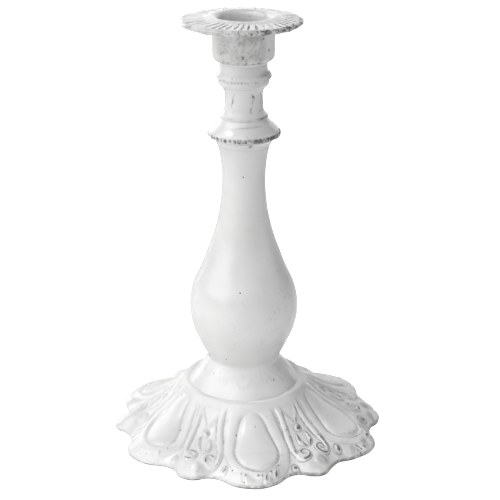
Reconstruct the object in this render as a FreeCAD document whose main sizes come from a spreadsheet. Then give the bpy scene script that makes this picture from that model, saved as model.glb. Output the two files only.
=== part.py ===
"""Glazed earthenware candlestick, built the potter's way.

A press-moulded foot with twelve rim lobes carries moulded sprigs (ovals, scroll straps,
leaves, beads).  A ridge, a dome, a hollow baluster stem, a beaded collar, a neck, a knop,
a candle cup and a fluted drip pan stand on it.  Every piece is a separate solid, and thin
rings of slip lie between the turned sections.

Frame: millimetres, +Z up, origin on the table at the stem's axis.  A big rim lobe points
along -Y, and a small one, the middle of a scrolled panel, along +X.
"""
import FreeCAD
import Part
import Sketcher
import math
import os

# ---------------------------------------------------------------- driving dimensions
FOOT_CELLS = {
    # the plan outline of the foot: six big lobes and six small ones, joined by hollows
    "big_lobe_place": 54.0,
    "big_lobe_bend": 21.0,
    "small_lobe_place": 63.5,
    "small_lobe_bend": 9.5,
    "lobe_hollow_bend": 12.0,
    # the ogee section of the foot, from the ridge seat out to the rim
    "ridge_seat_reach": 35.2,
    "ridge_seat_rise": 21.4,
    "throat_reach": 30.0,
    "ogee_hollow_bend": 43.0,
    "ogee_turn_reach": 56.0,
    "ogee_turn_rise": 8.3,
    "ogee_crown_bend": 120.0,
    "blank_reach": 80.0,
    "rim_rise": 1.2,
    "foot_wall": 4.3,
    "under_reach": 55.0,
    "under_rise": 4.2,
    "foot_land_reach": 62.0,
    "under_bend": 47.3,
    "trim_blank": 95.0,
    "trim_depth": 60.0,
}
SPRIG_CELLS = {
    "sprig_height": 1.3,
    "sprig_sink": 12.0,
    "sprig_sky": 60.0,
    "sprig_core": 24.0,
    # the convex oval in the middle of each big lobe, and the flat frame round it
    "oval_place": 51.6,
    "oval_lift": 9.4,
    "oval_tilt": 20.0,
    "oval_long": 14.6,
    "oval_wide": 11.8,
    "oval_high": 4.2,
    "egg_outer_place": 53.6,
    "egg_outer_bend": 12.0,
    "egg_inner_place": 43.0,
    "egg_inner_bend": 7.0,
    "egg_side_bend": 70.0,
    "frame_gap": 0.9,
    "frame_width": 2.9,
    # the strap down each side of a panel, and the scroll that ends it
    "strap_root_reach": 36.0,
    "strap_root_near": 5.0,
    "strap_root_far": 7.2,
    "strap_knee_reach": 53.0,
    "strap_knee_near": 8.0,
    "strap_knee_far": 11.2,
    "strap_end_reach": 59.0,
    "strap_end_near": 7.6,
    "strap_end_far": 10.4,
    "strap_bend": 60.0,
    "strap_end_bend": 14.0,
    "scroll_reach": 61.0,
    "scroll_side": 6.3,
    "scroll_bend": 3.9,
    "scroll_eye": 1.5,
    # bead and leaves in the middle of a panel
    "bead_reach": 46.0,
    "bead_lift": 11.9,
    "bead_bend": 1.85,
    "leaf_root_reach": 49.5,
    "leaf_root_side": 2.9,
    "leaf_tip_reach": 56.8,
    "leaf_tip_side": 1.0,
    "leaf_bend": 7.5,
    # small trim along the rim
    "pearl_reach": 63.9,
    "pearl_side": 15.2,
    "pearl_lift": 5.9,
    "pearl_bend": 1.5,
    "knob_reach": 68.2,
    "knob_lift": 4.6,
    "knob_long": 4.0,
    "knob_wide": 5.0,
    "knob_high": 2.2,
}
DOME_CELLS = {
    "slip_seam": 0.3,
    # the ridge between foot and dome
    "ridge_bore": 25.0,
    "ridge_slip_bore": 25.7,
    "ridge_toe_reach": 34.9,
    "ridge_shoulder_reach": 33.9,
    "ridge_shoulder_rise": 24.0,
    "ridge_crest_bend": 3.4,
    "ridge_groove_reach": 28.6,
    "dome_seat_rise": 25.0,
    # the low dome that takes the stem
    "dome_foot_reach": 28.2,
    "dome_foot_bore": 25.2,
    "dome_shoulder_reach": 26.2,
    "dome_shoulder_rise": 29.2,
    "dome_shoulder_bend": 6.0,
    "dome_neck_bend": 18.0,
    "dome_top_reach": 18.8,
    "stem_seat_rise": 38.8,
    "dome_top_bore": 14.2,
    "dome_inner_reach": 21.6,
    "dome_inner_rise": 28.4,
    # faint leaves pressed on the dome
    "dome_leaf_root": 25.4,
    "dome_leaf_tip": 21.0,
    "dome_leaf_bend": 3.0,
    "dome_leaf_height": 0.7,
}
STEM_CELLS = {
    # outside of the baluster, from its pinched foot to its collar
    "pinch_reach": 18.7,
    "belly_lower_reach": 23.9,
    "belly_lower_rise": 50.3,
    "belly_bend": 38.0,
    "belly_upper_reach": 24.6,
    "belly_upper_rise": 84.0,
    "flare_reach": 19.1,
    "flare_rise": 98.0,
    "flare_bend": 105.0,
    "waist_reach": 11.0,
    "waist_rise": 138.0,
    "throat_bend": 75.6,
    "stem_top_reach": 13.2,
    "collar_seat_rise": 156.4,
    # inside of the baluster
    "cavity_foot_reach": 14.2,
    "cavity_lower_reach": 19.3,
    "cavity_lower_rise": 51.0,
    "cavity_bend": 34.0,
    "cavity_upper_reach": 19.8,
    "cavity_upper_rise": 85.0,
    "cavity_neck_reach": 7.0,
    "cavity_neck_rise": 126.0,
}
TOP_CELLS = {
    # beaded collar
    "collar_foot_reach": 14.2,
    "collar_foot_rise": 158.0,
    "collar_cove_bend": 5.0,
    "collar_edge_reach": 17.4,
    "collar_edge_low": 161.0,
    "collar_edge_high": 164.0,
    "collar_slope_bend": 12.0,
    "collar_top_reach": 11.8,
    "neck_seat_rise": 170.5,
    "collar_pearl_place": 17.5,
    "collar_pearl_rise": 162.5,
    "collar_pearl_bend": 1.22,
    # neck
    "neck_lip_reach": 11.7,
    "neck_lip_rise": 172.3,
    "neck_lip_bend": 1.2,
    "neck_foot_bend": 9.0,
    "neck_waist_reach": 9.6,
    "neck_waist_rise": 178.5,
    "neck_throat_rise": 183.5,
    "neck_head_bend": 5.0,
    "neck_head_reach": 11.2,
    "knop_seat_rise": 187.0,
    # knop
    "knop_lip_reach": 12.7,
    "knop_lip_rise": 189.2,
    "knop_lip_bend": 2.0,
    "knop_low_reach": 13.4,
    "knop_low_rise": 190.4,
    "knop_bend": 2.4,
    "knop_high_reach": 12.8,
    "knop_high_rise": 194.0,
    "knop_cove_bend": 3.0,
    "knop_top_reach": 11.5,
    "cup_seat_rise": 198.0,
    # candle cup and drip pan
    "socket_bend": 12.5,
    "socket_floor_rise": 200.5,
    "cup_corner_reach": 13.2,
    "cup_corner_rise": 198.7,
    "cup_corner_bend": 3.4,
    "cup_side_reach": 15.8,
    "cup_side_rise": 202.2,
    "cup_top_reach": 16.0,
    "pan_seat_rise": 215.6,
    "pan_under_reach": 29.0,
    "pan_under_rise": 217.4,
    "pan_edge_bend": 1.5,
    "pan_rim_reach": 29.4,
    "pan_rim_rise": 220.0,
    "pan_groove_reach": 18.2,
    "pan_groove_rise": 220.9,
    "socket_lip_foot": 16.9,
    "socket_lip_bend": 2.6,
    "socket_lip_rise": 221.7,
    "flute_bend": 0.85,
    "flute_start": 20.5,
    "flute_length": 12.0,
    "flute_lift": 220.7,
    "flute_tilt": 4.5,
}
SIX_FOLD = 6
COLLAR_PEARLS = 44
PAN_FLUTES = 60
BOTH_SIDES = ("", "- ")

document = FreeCAD.newDocument("candlestick")
sheet = document.addObject("Spreadsheet::Sheet", "sizes")
PIECES = []


def fill_sheet():
    """Write every driving dimension into the sheet, one named cell each."""
    row = 1
    for cells in (FOOT_CELLS, SPRIG_CELLS, DOME_CELLS, STEM_CELLS, TOP_CELLS):
        for name, millimetres in cells.items():
            sheet.set("A%d" % row, name)
            sheet.set("B%d" % row, str(millimetres))
            sheet.setAlias("B%d" % row, name)
            row += 1
    document.recompute()


def amount(formula):
    """The value of a sum of cell names, such as "- rim_rise + foot_wall"."""
    total = 0.0
    sign = 1.0
    for word in formula.split():
        if word in ("+", "-"):
            sign = 1.0 if word == "+" else -1.0
        elif word != "zero":
            total += sign * float(sheet.get(word))
    return total


def bound(formula):
    """The same sum as an expression that reads the sheet."""
    words = []
    for word in formula.split():
        if word == "zero":
            words.append("0")
        else:
            words.append(word if word in ("+", "-") else "sizes." + word)
    return " ".join(words)


# ---------------------------------------------------------------- bodies and sketches
def new_body(label):
    """A body of its own for one named piece."""
    body = document.addObject("PartDesign::Body", label)
    body.Label = label
    body.AllowCompound = True
    PIECES.append(body)
    return body


def datum(body, role):
    """The body's own origin plane or axis with this role."""
    for feature in body.Origin.OriginFeatures:
        if feature.Role == role:
            return feature
    raise ValueError(role)


def new_sketch(body, name, role):
    """An empty sketch on one of the body's origin planes."""
    sketch = body.newObject("Sketcher::SketchObject", name)
    sketch.AttachmentSupport = (datum(body, role), [""])
    sketch.MapMode = "FlatFace"
    return sketch


def pin(sketch, kind, shape, end, formula):
    """Fix one coordinate of a sketch point at a sum of cells."""
    number = sketch.addConstraint(Sketcher.Constraint(kind, -1, 1, shape, end, amount(formula)))
    sketch.setExpression("Constraints[%d]" % number, bound(formula))


def set_radius(sketch, shape, formula):
    """Fix the radius of an arc or circle at a sum of cells."""
    number = sketch.addConstraint(Sketcher.Constraint("Radius", shape, amount(formula)))
    sketch.setExpression("Constraints[%d]" % number, bound(formula))


def arc_between(start, end, radius, centre_on_left):
    """The short arc of this radius from start to end."""
    chord = end - start
    middle = (start + end) * 0.5
    left = FreeCAD.Vector(-chord.y, chord.x, 0)
    left.normalize()
    side = 1.0 if centre_on_left else -1.0
    depth = radius - math.sqrt(radius ** 2 - (chord.Length / 2) ** 2)
    return Part.Arc(start, middle - left * side * depth, end)


def draw_outline(sketch, vertices):
    """Draw a closed outline, its solid on the left of the way round.

    A vertex is (across, up), or (across, up, kind, radius) where the edge that arrives
    there is an arc: "bulge" swells out of the solid and "hollow" cuts into it.
    """
    points = [FreeCAD.Vector(amount(v[0]), amount(v[1]), 0) for v in vertices]
    heads = []
    tails = []
    for index, vertex in enumerate(vertices):
        before = points[index - 1]
        here = points[index]
        if len(vertex) == 2:
            shape = sketch.addGeometry(Part.LineSegment(before, here), False)
            ends = (1, 2)
        else:
            swells = vertex[2] == "bulge"
            arc = arc_between(before, here, amount(vertex[3]), swells)
            shape = sketch.addGeometry(arc, False)
            set_radius(sketch, shape, vertex[3])
            ends = (1, 2) if swells else (2, 1)
        tails.append((shape, ends[0]))
        heads.append((shape, ends[1]))
    for index, vertex in enumerate(vertices):
        following = tails[(index + 1) % len(vertices)]
        sketch.addConstraint(Sketcher.Constraint("Coincident", *heads[index], *following))
        pin(sketch, "DistanceX", *heads[index], vertex[0])
        pin(sketch, "DistanceY", *heads[index], vertex[1])


def spun(body, name, outlines, feature="PartDesign::Revolution"):
    """Turn closed outlines of (reach, rise) vertices round the stem's axis."""
    sketch = new_sketch(body, name + "_section", "XZ_Plane")
    for vertices in outlines:
        draw_outline(sketch, vertices)
    turned = body.newObject(feature, name)
    turned.Profile = sketch
    turned.ReferenceAxis = (sketch, ["V_Axis"])
    turned.Angle = 360
    body.Tip = turned
    return turned


def turned_piece(label, vertices):
    """One turned section of the candlestick."""
    body = new_body(label)
    spun(body, label + "_turned", [vertices])
    return body


def ring_of(body, originals, count):
    """Repeat features round the stem's axis."""
    pattern = body.newObject("PartDesign::PolarPattern", body.Label + "_ring")
    pattern.Originals = originals
    pattern.Axis = (datum(body, "Z_Axis"), [""])
    pattern.Angle = 360
    pattern.Occurrences = count
    body.Tip = pattern
    return pattern


def touching_point(one, other):
    """Where two tangent circles (x, y, radius, turn) touch."""
    a = FreeCAD.Vector(one[0], one[1], 0)
    b = FreeCAD.Vector(other[0], other[1], 0)
    if one[3] == other[3] and one[2] < other[2]:
        return b + (a - b).normalize() * other[2]
    return a + (b - a).normalize() * one[2]


def draw_tangent_loop(sketch, circles):
    """Draw a closed loop of arcs, each tangent to the next.

    A circle is (x, y, radius, turn, radius formula, x expression, y expression).  turn is
    1 where the loop runs anticlockwise on it and -1 in a hollow.  A circle with no
    expressions is held by its radius and its tangent neighbours alone.
    """
    arcs = []
    count = len(circles)
    for index, circle in enumerate(circles):
        arrive = touching_point(circles[index - 1], circle)
        leave = touching_point(circle, circles[(index + 1) % count])
        ends = [math.atan2(p.y - circle[1], p.x - circle[0]) for p in (arrive, leave)]
        if circle[3] < 0:
            ends.reverse()
        round_shape = Part.Circle(FreeCAD.Vector(circle[0], circle[1], 0),
                                  FreeCAD.Vector(0, 0, 1), circle[2])
        arcs.append(sketch.addGeometry(Part.ArcOfCircle(round_shape, *ends), False))
    for index, circle in enumerate(circles):
        following = circles[(index + 1) % count]
        head = (arcs[index], 2 if circle[3] > 0 else 1)
        tail = (arcs[(index + 1) % count], 1 if following[3] > 0 else 2)
        sketch.addConstraint(Sketcher.Constraint("Tangent", *head, *tail))
        set_radius(sketch, arcs[index], circle[4])
        if circle[5]:
            place_centre(sketch, arcs[index], circle)


def place_centre(sketch, shape, circle):
    """Fix an arc's centre by two expressions."""
    for kind, value, expression in (("DistanceX", circle[0], circle[5]),
                                    ("DistanceY", circle[1], circle[6])):
        number = sketch.addConstraint(Sketcher.Constraint(kind, -1, 1, shape, 3, value))
        sketch.setExpression("Constraints[%d]" % number, expression)


def beside(one, other, reach_one, reach_other):
    """The point this far from each of two centres, on the right of the way between them."""
    a = FreeCAD.Vector(one[0], one[1], 0)
    b = FreeCAD.Vector(other[0], other[1], 0)
    span = (b - a).Length
    along = (reach_one ** 2 - reach_other ** 2 + span ** 2) / (2 * span)
    across = math.sqrt(reach_one ** 2 - along ** 2)
    way = (b - a).normalize()
    return a + way * along + FreeCAD.Vector(way.y, -way.x, 0) * across


# ---------------------------------------------------------------- the foot
def foot_top(rise=""):
    """The ogee from the blank's edge in to the ridge seat, lifted by a formula."""
    return [
        ("blank_reach", "rim_rise" + rise),
        ("ogee_turn_reach", "ogee_turn_rise" + rise, "bulge", "ogee_crown_bend"),
        ("ridge_seat_reach", "ridge_seat_rise" + rise, "hollow", "ogee_hollow_bend"),
    ]


def draw_lobed_rim(sketch):
    """Six big lobes and six small ones, joined by hollows."""
    lobes = []
    for index in range(2 * SIX_FOLD):
        size = "big" if index % 2 == 0 else "small"
        turn = index * 180 / SIX_FOLD
        place = size + "_lobe_place"
        bend = size + "_lobe_bend"
        angle = math.radians(turn)
        lobes.append((amount(place) * math.sin(angle), -amount(place) * math.cos(angle),
                      amount(bend), 1, bend,
                      "sizes.%s * sin(%g deg)" % (place, turn),
                      "-sizes.%s * cos(%g deg)" % (place, turn)))
    circles = []
    hollow = amount("lobe_hollow_bend")
    for index, lobe in enumerate(lobes):
        following = lobes[(index + 1) % len(lobes)]
        centre = beside(lobe, following, lobe[2] + hollow, following[2] + hollow)
        circles.append(lobe)
        circles.append((centre.x, centre.y, hollow, -1, "lobe_hollow_bend", "", ""))
    draw_tangent_loop(sketch, circles)


def make_base_skirt():
    """The hollow foot: an ogee shell trimmed to its lobed outline."""
    body = new_body("base_skirt")
    section = [
        ("foot_land_reach", "zero"),
        ("blank_reach", "zero"),
        *foot_top(),
        ("throat_reach", "ridge_seat_rise"),
        ("throat_reach", "ridge_seat_rise - foot_wall"),
        ("under_reach", "under_rise", "bulge", "under_bend"),
    ]
    spun(body, "ogee_blank", [section])
    outline = new_sketch(body, "lobed_outline", "XY_Plane")
    blank = Part.Circle(FreeCAD.Vector(), FreeCAD.Vector(0, 0, 1), amount("trim_blank"))
    ring = outline.addGeometry(blank, False)
    outline.addConstraint(Sketcher.Constraint("Coincident", ring, 3, -1, 1))
    set_radius(outline, ring, "trim_blank")
    draw_lobed_rim(outline)
    trim = body.newObject("PartDesign::Pocket", "lobed_trim")
    trim.Profile = outline
    trim.Midplane = True
    trim.setExpression("Length", "sizes.trim_depth")
    body.Tip = trim


def bed_on_foot(body):
    """Cut a piece's underside to the ogee, so that it lies on the foot face to face."""
    under = [("sprig_core", "- sprig_sink"), ("blank_reach", "- sprig_sink"), *foot_top(),
             ("sprig_core", "ridge_seat_rise")]
    spun(body, body.Label + "_bed", [under], "PartDesign::Groove")


def level_sprig(body):
    """Cut a piece's top to the ogee lifted by the sprigs' height."""
    lift = " + sprig_height"
    over = [("sprig_core", "ridge_seat_rise" + lift),
            ("ridge_seat_reach", "ridge_seat_rise" + lift),
            ("ogee_turn_reach", "ogee_turn_rise" + lift, "bulge", "ogee_hollow_bend"),
            ("blank_reach", "rim_rise" + lift, "hollow", "ogee_crown_bend"),
            ("blank_reach", "sprig_sky"), ("sprig_core", "sprig_sky")]
    spun(body, body.Label + "_top", [over], "PartDesign::Groove")


def raise_sprig(body, sketch):
    """Pad a plan sketch up, repeat it round the foot and cut it to the ogee."""
    pad = body.newObject("PartDesign::Pad", body.Label + "_pad")
    pad.Profile = sketch
    pad.setExpression("Length", "sizes.sprig_sky / 2")
    body.Tip = pad
    ring_of(body, [pad], SIX_FOLD)
    bed_on_foot(body)
    level_sprig(body)


def place_blob(body, kind, name, radii, spot, turns=(0, 0, 0)):
    """A sphere or ellipsoid at a spot; radii and spot are expressions, turns in degrees."""
    blob = body.newObject("PartDesign::" + kind, name)
    blob.AttachmentSupport = (datum(body, "XY_Plane"), [""])
    blob.MapMode = "FlatFace"
    for prop, expression in radii.items():
        blob.setExpression(prop, expression)
    blob.AttachmentOffset = FreeCAD.Placement(FreeCAD.Vector(), FreeCAD.Rotation(*turns))
    for axis, expression in zip("xyz", spot):
        blob.setExpression("AttachmentOffset.Base." + axis, expression)
    body.Tip = blob
    return blob


def make_oval_bosses():
    """The six convex ovals on the big lobes."""
    body = new_body("oval_bosses")
    radii = {"Radius1": "sizes.oval_high", "Radius2": "sizes.oval_wide",
             "Radius3": "sizes.oval_long"}
    spot = ("0", "-sizes.oval_place", "sizes.oval_lift")
    boss = place_blob(body, "AdditiveEllipsoid", "oval", radii, spot,
                      (0, 0, amount("oval_tilt")))
    ring_of(body, [boss], SIX_FOLD)
    bed_on_foot(body)


def draw_egg(sketch, grow):
    """An egg round the oval, its sides grown by a formula."""
    ends = []
    for end in ("egg_outer", "egg_inner"):
        bend = end + "_bend" + grow
        ends.append((0.0, -amount(end + "_place"), amount(bend), 1, bend,
                     "0", "-sizes.%s_place" % end))
    side_bend = "egg_side_bend" + grow
    side = amount(side_bend)
    outer, inner = ends
    left = beside(outer, inner, side - outer[2], side - inner[2])
    loop = [outer, (-left.x, left.y, side, 1, side_bend, "", ""),
            inner, (left.x, left.y, side, 1, side_bend, "", "")]
    draw_tangent_loop(sketch, loop)


def make_oval_frames():
    """The flat raised frame round each oval."""
    body = new_body("oval_frames")
    sketch = new_sketch(body, "frame_plan", "XY_Plane")
    draw_egg(sketch, " + frame_gap")
    draw_egg(sketch, " + frame_gap + frame_width")
    raise_sprig(body, sketch)


def make_scroll_straps():
    """Twelve straps, each ending in a scroll that curls towards its panel's middle."""
    body = new_body("scroll_straps")
    strap_plan = new_sketch(body, "strap_plan", "XY_Plane")
    scroll_plan = new_sketch(body, "scroll_plan", "XY_Plane")
    for side in BOTH_SIDES:
        outline = [
            ("strap_root_reach", side + "strap_root_near"),
            ("strap_knee_reach", side + "strap_knee_near", "hollow", "strap_bend"),
            ("strap_end_reach", side + "strap_end_near", "bulge", "strap_end_bend"),
            ("strap_end_reach", side + "strap_end_far"),
            ("strap_knee_reach", side + "strap_knee_far", "bulge", "strap_end_bend"),
            ("strap_root_reach", side + "strap_root_far", "bulge", "strap_bend"),
        ]
        if side:
            outline = mirrored(outline)
        draw_outline(strap_plan, outline)
        for bend in ("scroll_bend", "scroll_eye"):
            circle = Part.Circle(FreeCAD.Vector(amount("scroll_reach"),
                                                amount(side + "scroll_side"), 0),
                                 FreeCAD.Vector(0, 0, 1), amount(bend))
            shape = scroll_plan.addGeometry(circle, False)
            set_radius(scroll_plan, shape, bend)
            pin(scroll_plan, "DistanceX", shape, 3, "scroll_reach")
            pin(scroll_plan, "DistanceY", shape, 3, side + "scroll_side")
    pads = []
    for plan in (strap_plan, scroll_plan):
        pad = body.newObject("PartDesign::Pad", plan.Name + "_pad")
        pad.Profile = plan
        pad.setExpression("Length", "sizes.sprig_sky / 2")
        body.Tip = pad
        pads.append(pad)
    ring_of(body, pads, SIX_FOLD)
    bed_on_foot(body)
    level_sprig(body)


def mirrored(outline):
    """The same outline run the other way, for a copy on the far side of its axis."""
    run = []
    count = len(outline)
    for index in range(count - 1, -1, -1):
        corner = outline[index][:2]
        edge = outline[(index + 1) % count][2:]
        run.append(corner + edge)
    return run


def make_husk_leaves():
    """Two leaves in a V in the middle of each panel."""
    body = new_body("husk_leaves")
    sketch = new_sketch(body, "leaf_plan", "XY_Plane")
    for side in BOTH_SIDES:
        outline = [
            ("leaf_root_reach", side + "leaf_root_side", "bulge", "leaf_bend"),
            ("leaf_tip_reach", side + "leaf_tip_side", "bulge", "leaf_bend"),
        ]
        draw_outline(sketch, outline)
    raise_sprig(body, sketch)


def make_husk_beads():
    """One bead above each pair of leaves."""
    body = new_body("husk_beads")
    spot = ("sizes.bead_reach", "0", "sizes.bead_lift")
    bead = place_blob(body, "AdditiveSphere", "bead", {"Radius": "sizes.bead_bend"}, spot)
    ring_of(body, [bead], SIX_FOLD)
    bed_on_foot(body)


def make_rim_pearls():
    """Two pearls in the hollows beside each small lobe."""
    body = new_body("rim_pearls")
    pearls = []
    for number, side in enumerate(("", "-")):
        spot = ("sizes.pearl_reach", side + "sizes.pearl_side", "sizes.pearl_lift")
        pearls.append(place_blob(body, "AdditiveSphere", "pearl_%d" % number,
                                 {"Radius": "sizes.pearl_bend"}, spot))
    ring_of(body, pearls, SIX_FOLD)
    bed_on_foot(body)


def make_rim_knobs():
    """A rounded knob on each small lobe."""
    body = new_body("rim_knobs")
    radii = {"Radius1": "sizes.knob_high", "Radius2": "sizes.knob_long",
             "Radius3": "sizes.knob_wide"}
    spot = ("sizes.knob_reach", "0", "sizes.knob_lift")
    knob = place_blob(body, "AdditiveEllipsoid", "knob", radii, spot)
    ring_of(body, [knob], SIX_FOLD)
    bed_on_foot(body)


# ---------------------------------------------------------------- ridge and dome
def make_ridge_moulding():
    """The rounded ridge between foot and dome."""
    turned_piece("ridge_moulding", [
        ("ridge_bore", "ridge_seat_rise + slip_seam"),
        ("ridge_toe_reach", "ridge_seat_rise + slip_seam"),
        ("ridge_shoulder_reach", "ridge_shoulder_rise"),
        ("ridge_groove_reach", "dome_seat_rise", "bulge", "ridge_crest_bend"),
        ("ridge_bore", "dome_seat_rise"),
    ])


DOME_TOP = [
    ("dome_foot_reach", "dome_seat_rise + slip_seam"),
    ("dome_shoulder_reach", "dome_shoulder_rise", "bulge", "dome_shoulder_bend"),
    ("dome_top_reach", "stem_seat_rise", "hollow", "dome_neck_bend"),
]


def make_base_dome():
    """The low dome that takes the stem."""
    turned_piece("base_dome", [
        ("dome_foot_bore", "dome_seat_rise + slip_seam"),
        *DOME_TOP,
        ("dome_top_bore", "stem_seat_rise"),
        ("dome_inner_reach", "dome_inner_rise"),
    ])


def make_dome_leaves():
    """Six faint leaves on the dome, above the panels."""
    body = new_body("dome_leaves")
    sketch = new_sketch(body, "dome_leaf_plan", "XY_Plane")
    draw_outline(sketch, [("dome_leaf_tip", "zero", "bulge", "dome_leaf_bend"),
                          ("dome_leaf_root", "zero", "bulge", "dome_leaf_bend")])
    pad = body.newObject("PartDesign::Pad", "dome_leaf_pad")
    pad.Profile = sketch
    pad.setExpression("Length", "sizes.sprig_sky")
    body.Tip = pad
    ring_of(body, [pad], SIX_FOLD)
    under = [("zero", "zero"), ("dome_foot_reach", "zero"), *DOME_TOP,
             ("zero", "stem_seat_rise")]
    spun(body, "dome_leaf_bed", [under], "PartDesign::Groove")
    lift = " + dome_leaf_height"
    over = [("dome_top_reach" + lift, "stem_seat_rise"),
            ("dome_shoulder_reach" + lift, "dome_shoulder_rise", "bulge", "dome_neck_bend"),
            ("dome_foot_reach" + lift, "dome_seat_rise + slip_seam", "hollow",
             "dome_shoulder_bend"),
            ("blank_reach", "dome_seat_rise + slip_seam"),
            ("blank_reach", "sprig_sky + sprig_sky"), ("zero", "sprig_sky + sprig_sky"),
            ("zero", "stem_seat_rise")]
    spun(body, "dome_leaf_top", [over], "PartDesign::Groove")


# ---------------------------------------------------------------- stem, collar, neck
def make_baluster_stem():
    """The hollow baluster."""
    turned_piece("baluster_stem", [
        ("cavity_foot_reach", "stem_seat_rise + slip_seam"),
        ("pinch_reach", "stem_seat_rise + slip_seam"),
        ("belly_lower_reach", "belly_lower_rise"),
        ("belly_upper_reach", "belly_upper_rise", "bulge", "belly_bend"),
        ("flare_reach", "flare_rise"),
        ("waist_reach", "waist_rise", "hollow", "flare_bend"),
        ("stem_top_reach", "collar_seat_rise", "hollow", "throat_bend"),
        ("cavity_neck_reach", "collar_seat_rise"),
        ("cavity_neck_reach", "cavity_neck_rise"),
        ("cavity_upper_reach", "cavity_upper_rise"),
        ("cavity_lower_reach", "cavity_lower_rise", "hollow", "cavity_bend"),
    ])


COLLAR_SIDE = [
    ("stem_top_reach", "collar_seat_rise + slip_seam"),
    ("collar_foot_reach", "collar_foot_rise"),
    ("collar_edge_reach", "collar_edge_low", "hollow", "collar_cove_bend"),
    ("collar_edge_reach", "collar_edge_high"),
    ("collar_top_reach", "neck_seat_rise", "hollow", "collar_slope_bend"),
]


def make_stem_collar():
    """The bell-shaped collar on top of the stem."""
    turned_piece("stem_collar", [
        ("cavity_neck_reach", "collar_seat_rise + slip_seam"),
        *COLLAR_SIDE,
        ("cavity_neck_reach", "neck_seat_rise"),
    ])


def make_collar_pearls():
    """The row of pearls round the collar's edge."""
    body = new_body("collar_pearls")
    spot = ("0", "-sizes.collar_pearl_place", "sizes.collar_pearl_rise")
    pearl = place_blob(body, "AdditiveSphere", "collar_pearl",
                       {"Radius": "sizes.collar_pearl_bend"}, spot)
    ring_of(body, [pearl], COLLAR_PEARLS)
    core = [("zero", "collar_seat_rise + slip_seam"), *COLLAR_SIDE,
            ("zero", "neck_seat_rise")]
    spun(body, "collar_pearl_bed", [core], "PartDesign::Groove")


def make_neck_spool():
    """The solid waisted neck, with an overlapping lip at its foot."""
    turned_piece("neck_spool", [
        ("zero", "neck_seat_rise + slip_seam"),
        ("neck_lip_reach", "neck_seat_rise + slip_seam"),
        ("neck_lip_reach", "neck_lip_rise", "bulge", "neck_lip_bend"),
        ("neck_waist_reach", "neck_waist_rise", "hollow", "neck_foot_bend"),
        ("neck_waist_reach", "neck_throat_rise"),
        ("neck_head_reach", "knop_seat_rise", "hollow", "neck_head_bend"),
        ("zero", "knop_seat_rise"),
    ])


def make_knop_ring():
    """The solid knop under the cup."""
    turned_piece("knop_ring", [
        ("zero", "knop_seat_rise + slip_seam"),
        ("neck_head_reach", "knop_seat_rise + slip_seam"),
        ("knop_lip_reach", "knop_lip_rise", "bulge", "knop_lip_bend"),
        ("knop_low_reach", "knop_low_rise"),
        ("knop_high_reach", "knop_high_rise", "bulge", "knop_bend"),
        ("knop_top_reach", "cup_seat_rise", "hollow", "knop_cove_bend"),
        ("zero", "cup_seat_rise"),
    ])


# ---------------------------------------------------------------- cup, pan and slip
def make_candle_cup():
    """The cup: a plain blind socket for the candle."""
    turned_piece("candle_cup", [
        ("zero", "cup_seat_rise + slip_seam"),
        ("knop_top_reach", "cup_seat_rise + slip_seam"),
        ("cup_corner_reach", "cup_corner_rise"),
        ("cup_side_reach", "cup_side_rise", "bulge", "cup_corner_bend"),
        ("cup_top_reach", "pan_seat_rise"),
        ("socket_bend", "pan_seat_rise"),
        ("socket_bend", "socket_floor_rise"),
        ("zero", "socket_floor_rise"),
    ])


def make_drip_pan():
    """The drip pan: a raised lip round the socket and fine flutes out to the rim."""
    body = turned_piece("drip_pan", [
        ("socket_bend", "pan_seat_rise + slip_seam"),
        ("cup_top_reach", "pan_seat_rise + slip_seam"),
        ("pan_under_reach", "pan_under_rise"),
        ("pan_rim_reach", "pan_rim_rise", "bulge", "pan_edge_bend"),
        ("pan_groove_reach", "pan_groove_rise"),
        ("socket_lip_foot", "socket_lip_rise"),
        ("socket_bend", "socket_lip_rise", "bulge", "socket_lip_bend"),
    ])
    flute = body.newObject("PartDesign::SubtractiveCylinder", "flute")
    flute.AttachmentSupport = (datum(body, "XY_Plane"), [""])
    flute.MapMode = "FlatFace"
    flute.setExpression("Radius", "sizes.flute_bend")
    flute.setExpression("Height", "sizes.flute_length")
    lean = FreeCAD.Rotation(FreeCAD.Vector(1, 0, 0), 90 + amount("flute_tilt"))
    flute.AttachmentOffset = FreeCAD.Placement(FreeCAD.Vector(), lean)
    flute.setExpression("AttachmentOffset.Base.y", "-sizes.flute_start")
    flute.setExpression("AttachmentOffset.Base.z", "sizes.flute_lift")
    body.Tip = flute
    ring_of(body, [flute], PAN_FLUTES)


def make_luting_slip():
    """The thin rings of slip that hold the turned sections together."""
    seams = [
        ("ridge_slip_bore", "ridge_toe_reach", "ridge_seat_rise"),
        ("dome_foot_bore", "dome_foot_reach", "dome_seat_rise"),
        ("dome_top_bore", "pinch_reach", "stem_seat_rise"),
        ("cavity_neck_reach", "stem_top_reach", "collar_seat_rise"),
        ("cavity_neck_reach", "neck_lip_reach", "neck_seat_rise"),
        ("zero", "neck_head_reach", "knop_seat_rise"),
        ("zero", "knop_top_reach", "cup_seat_rise"),
        ("socket_bend", "cup_top_reach", "pan_seat_rise"),
    ]
    body = new_body("luting_slip")
    rings = []
    for inner, outer, rise in seams:
        rings.append([(inner, rise), (outer, rise), (outer, rise + " + slip_seam"),
                      (inner, rise + " + slip_seam")])
    spun(body, "slip_rings", rings)


# ---------------------------------------------------------------- build, check, write
MAKERS = (
    make_base_skirt, make_oval_bosses, make_oval_frames, make_scroll_straps,
    make_husk_leaves, make_husk_beads, make_rim_pearls, make_rim_knobs,
    make_ridge_moulding, make_base_dome, make_dome_leaves, make_baluster_stem,
    make_stem_collar, make_collar_pearls, make_neck_spool, make_knop_ring,
    make_candle_cup, make_drip_pan, make_luting_slip,
)


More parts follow.
